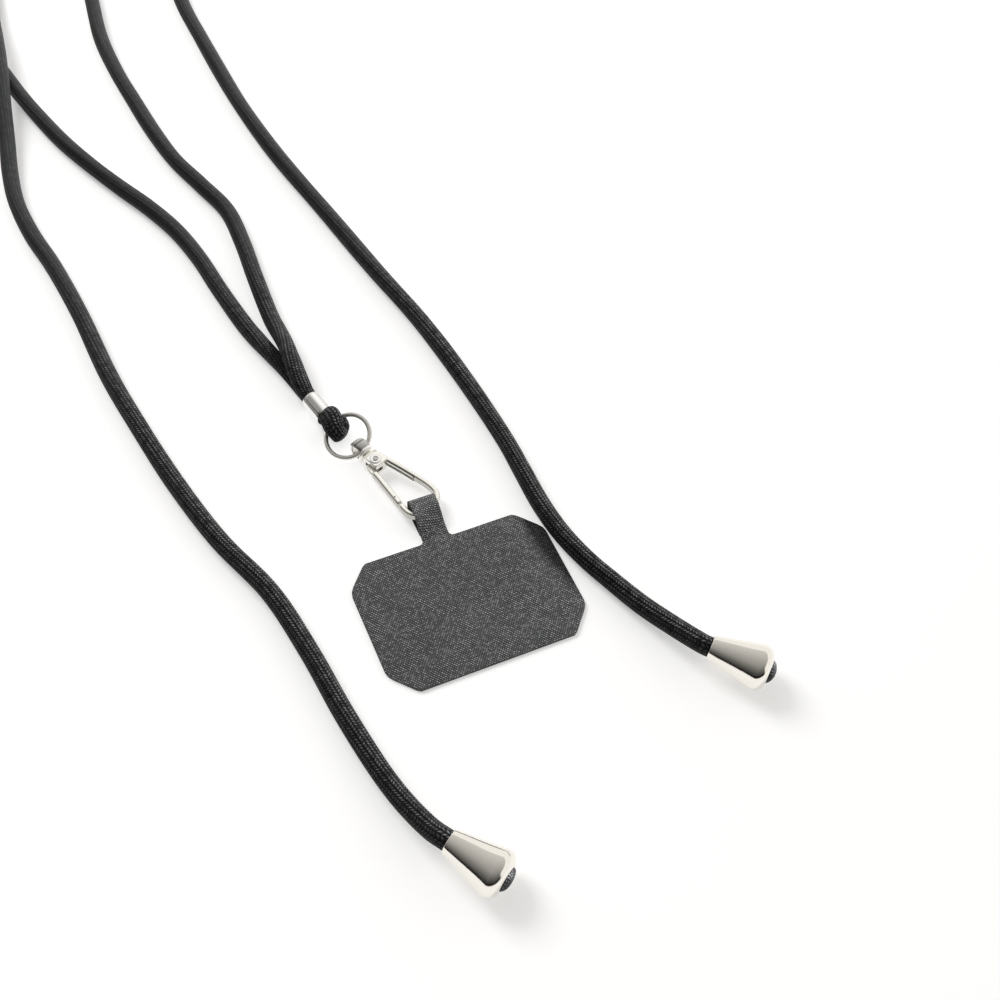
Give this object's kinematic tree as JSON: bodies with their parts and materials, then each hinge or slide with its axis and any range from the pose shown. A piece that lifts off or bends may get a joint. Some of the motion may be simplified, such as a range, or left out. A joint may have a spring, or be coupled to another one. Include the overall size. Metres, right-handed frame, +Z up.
{
  "type": "phone crossbody strap",
  "caption": "Black braided cord strap with a silver swivel hook on a ring, a crimped ferrule, cone end caps and a grey fabric phone patch, laid out flat.",
  "frame": {"origin": "centre of the fabric patch's underside, on the surface that the strap lies on", "axes": "+X right along the patch's longer side, +Y from the patch towards its tab, the hook and the ferrule, +Z up"},
  "size_m": [0.1617, 0.4619, 0.0133],
  "materials": {
    "patch_fabric": "fine woven, matte",
    "hook_metal": "polished nickel plate",
    "ring_metal": "polished nickel plate",
    "ferrule_metal": "satin",
    "cord_braid": "braided, soft sheen",
    "cone_metal": "polished",
    "cord_knot": "braided, soft sheen"
  },
  "bodies": {
    "strap": {"swivel_eye": "hook_metal", "ring": "ring_metal", "ferrule": "ferrule_metal", "cord_fold": "cord_braid", "cord_left": "cord_braid", "cord_right": "cord_braid", "cone_left": "cone_metal", "cone_right": "cone_metal", "knot_left": "cord_knot", "knot_right": "cord_knot"},
    "hook": {"hook_body": "hook_metal", "gate_pin": "hook_metal", "patch": "patch_fabric"},
    "gate": {"gate": "hook_metal"}
  },
  "joints": [
    {"name": "swivel", "type": "hinge", "parent": "strap", "child": "hook", "pos_m": [-0.00765, 0.05332, 0.0033], "axis": [-0.3665, 0.9304, 0], "continuous": true},
    {"name": "gate", "type": "hinge", "parent": "hook", "child": "gate", "pos_m": [-0.00798, 0.05319, 0.0033], "axis": [0, 0, 1], "range_deg": [0, 25], "stiffness_Nm_per_rad": 0.005, "springref_deg": -17.19}
  ]
}
